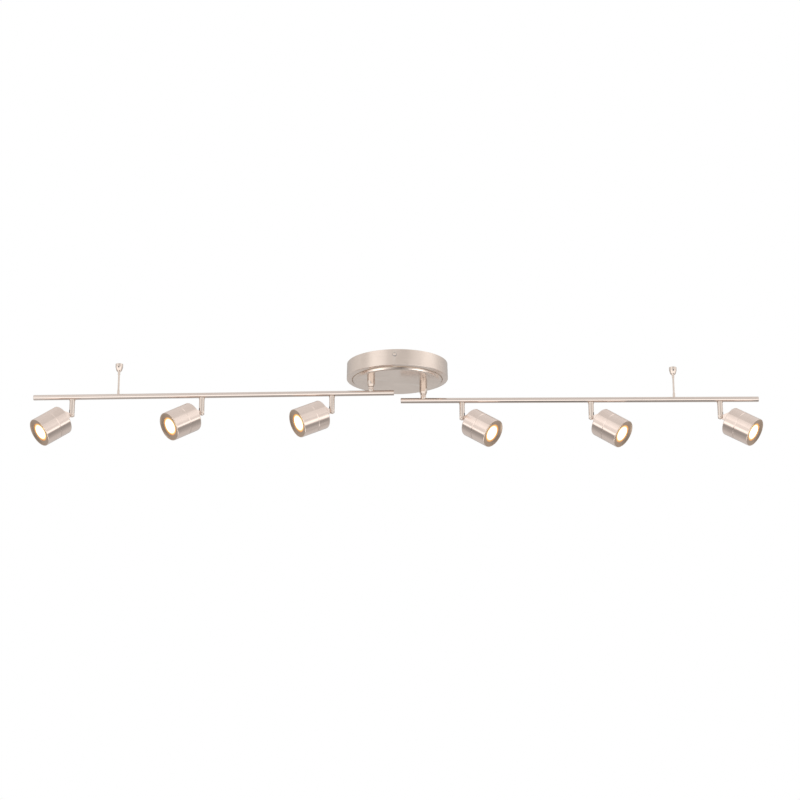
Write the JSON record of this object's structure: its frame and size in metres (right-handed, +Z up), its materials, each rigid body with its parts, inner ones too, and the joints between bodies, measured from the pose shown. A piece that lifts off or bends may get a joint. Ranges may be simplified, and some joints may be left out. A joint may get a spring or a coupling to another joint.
{
  "type": "track light",
  "caption": "Ceiling light with a round canopy, two swinging tubular arms on posts, thin ceiling supports and cylindrical spotlights that pan and tilt.",
  "frame": {"origin": "centre of the canopy on the ceiling plane, midway between the two ceiling screws", "axes": "+Z up into the ceiling, +X out along the right arm, -Y towards the viewer"},
  "size_m": [1.277, 0.1822, 0.1535],
  "materials": {
    "nickel_canopy": "satin brushed nickel",
    "nickel_tube": "satin nickel plating",
    "nickel_turned": "turned, satin nickel plating",
    "nickel_can": "satin nickel plating on spun aluminium",
    "lens_glow": "frosted, lit warm white",
    "zinc_steel": "zinc plated",
    "spring_steel": "spring steel",
    "black_steel": "black oxide",
    "driver_case": "moulded",
    "terminal_plastic": "moulded",
    "earth_green": "green lacquer",
    "lead_sleeve": "insulated wire",
    "module_aluminium": "die cast"
  },
  "bodies": {
    "canopy": {"canopy_cover": "nickel_canopy", "mounting_plate": "zinc_steel", "side_screws": "nickel_turned", "led_driver": "driver_case", "driver_screws": "zinc_steel", "terminal_block": "terminal_plastic", "earth_screw": "earth_green", "post_sleeves": "nickel_turned", "post_locknuts": "zinc_steel", "driver_leads": "lead_sleeve"},
    "arm_left": {"arm_tube_left": "nickel_tube", "end_caps_left": "nickel_tube", "swivel_neck_left": "nickel_turned", "neck_clip_left": "spring_steel", "support_rod_left": "nickel_turned"},
    "cup_left": {"support_cup_left": "nickel_turned", "cup_set_screw_left": "black_steel"},
    "arm_right": {"arm_tube_right": "nickel_tube", "end_caps_right": "nickel_tube", "swivel_neck_right": "nickel_turned", "neck_clip_right": "spring_steel", "support_rod_right": "nickel_turned"},
    "cup_right": {"support_cup_right": "nickel_turned", "cup_set_screw_right": "black_steel"},
    "swivel_1": {"stem_1": "nickel_turned", "tilt_pin_1": "nickel_turned"},
    "spot_1": {"rear_housing_1": "nickel_can", "front_barrel_1": "nickel_can", "lens_1": "lens_glow", "led_module_1": "module_aluminium"},
    "swivel_2": {"stem_2": "nickel_turned", "tilt_pin_2": "nickel_turned"},
    "spot_2": {"rear_housing_2": "nickel_can", "front_barrel_2": "nickel_can", "lens_2": "lens_glow", "led_module_2": "module_aluminium"},
    "swivel_3": {"stem_3": "nickel_turned", "tilt_pin_3": "nickel_turned"},
    "spot_3": {"rear_housing_3": "nickel_can", "front_barrel_3": "nickel_can", "lens_3": "lens_glow", "led_module_3": "module_aluminium"},
    "swivel_4": {"stem_4": "nickel_turned", "tilt_pin_4": "nickel_turned"},
    "spot_4": {"rear_housing_4": "nickel_can", "front_barrel_4": "nickel_can", "lens_4": "lens_glow", "led_module_4": "module_aluminium"},
    "swivel_5": {"stem_5": "nickel_turned", "tilt_pin_5": "nickel_turned"},
    "spot_5": {"rear_housing_5": "nickel_can", "front_barrel_5": "nickel_can", "lens_5": "lens_glow", "led_module_5": "module_aluminium"},
    "swivel_6": {"stem_6": "nickel_turned", "tilt_pin_6": "nickel_turned"},
    "spot_6": {"rear_housing_6": "nickel_can", "front_barrel_6": "nickel_can", "lens_6": "lens_glow", "led_module_6": "module_aluminium"}
  },
  "joints": [
    {"name": "left_arm_swing", "type": "hinge", "parent": "canopy", "child": "arm_left", "pos_m": [-0.0458, -0.0241, -0.06], "axis": [0, 0, 1], "range_deg": [-90, 90]},
    {"name": "left_cup_slide", "type": "slide", "parent": "arm_left", "child": "cup_left", "axis": [0, 0, -1], "range_m": [0, 0.01]},
    {"name": "right_arm_swing", "type": "hinge", "parent": "canopy", "child": "arm_right", "pos_m": [0.0458, 0.0241, -0.06], "axis": [0, 0, 1], "range_deg": [-90, 90]},
    {"name": "right_cup_slide", "type": "slide", "parent": "arm_right", "child": "cup_right", "axis": [0, 0, -1], "range_m": [0, 0.01]},
    {"name": "spot_1_pan", "type": "hinge", "parent": "arm_left", "child": "swivel_1", "pos_m": [-0.56896, -0.00675, -0.06], "axis": [0, 0, 1], "range_deg": [-175, 175]},
    {"name": "spot_1_tilt", "type": "hinge", "parent": "swivel_1", "child": "spot_1", "pos_m": [-0.56896, -0.00675, -0.0914], "axis": [0.5476, -0.8368, 0], "range_deg": [-35.2, 54.8]},
    {"name": "spot_2_pan", "type": "hinge", "parent": "arm_left", "child": "swivel_2", "pos_m": [-0.34149, -0.01429, -0.06], "axis": [0, 0, 1], "range_deg": [-175, 175]},
    {"name": "spot_2_tilt", "type": "hinge", "parent": "swivel_2", "child": "spot_2", "pos_m": [-0.34149, -0.01429, -0.0914], "axis": [0.5664, -0.8241, 0], "range_deg": [-29, 61]},
    {"name": "spot_3_pan", "type": "hinge", "parent": "arm_left", "child": "swivel_3", "pos_m": [-0.11401, -0.02184, -0.06], "axis": [0, 0, 1], "range_deg": [-175, 175]},
    {"name": "spot_3_tilt", "type": "hinge", "parent": "swivel_3", "child": "spot_3", "pos_m": [-0.11401, -0.02184, -0.0914], "axis": [0.4493, -0.8934, 0], "range_deg": [-24.9, 65.1]},
    {"name": "spot_4_pan", "type": "hinge", "parent": "arm_right", "child": "swivel_4", "pos_m": [0.11405, 0.0241, -0.06], "axis": [0, 0, 1], "range_deg": [-175, 175]},
    {"name": "spot_4_tilt", "type": "hinge", "parent": "swivel_4", "child": "spot_4", "pos_m": [0.11405, 0.0241, -0.0914], "axis": [0.5165, 0.8563, 0], "range_deg": [-31.9, 58.1]},
    {"name": "spot_5_pan", "type": "hinge", "parent": "arm_right", "child": "swivel_5", "pos_m": [0.34165, 0.0241, -0.06], "axis": [0, 0, 1], "range_deg": [-175, 175]},
    {"name": "spot_5_tilt", "type": "hinge", "parent": "swivel_5", "child": "spot_5", "pos_m": [0.34165, 0.0241, -0.0914], "axis": [0.512, 0.859, 0], "range_deg": [-33.6, 56.4]},
    {"name": "spot_6_pan", "type": "hinge", "parent": "arm_right", "child": "swivel_6", "pos_m": [0.56925, 0.0241, -0.06], "axis": [0, 0, 1], "range_deg": [-175, 175]},
    {"name": "spot_6_tilt", "type": "hinge", "parent": "swivel_6", "child": "spot_6", "pos_m": [0.56925, 0.0241, -0.0914], "axis": [0.4955, 0.8686, 0], "range_deg": [-31.7, 58.3]}
  ]
}
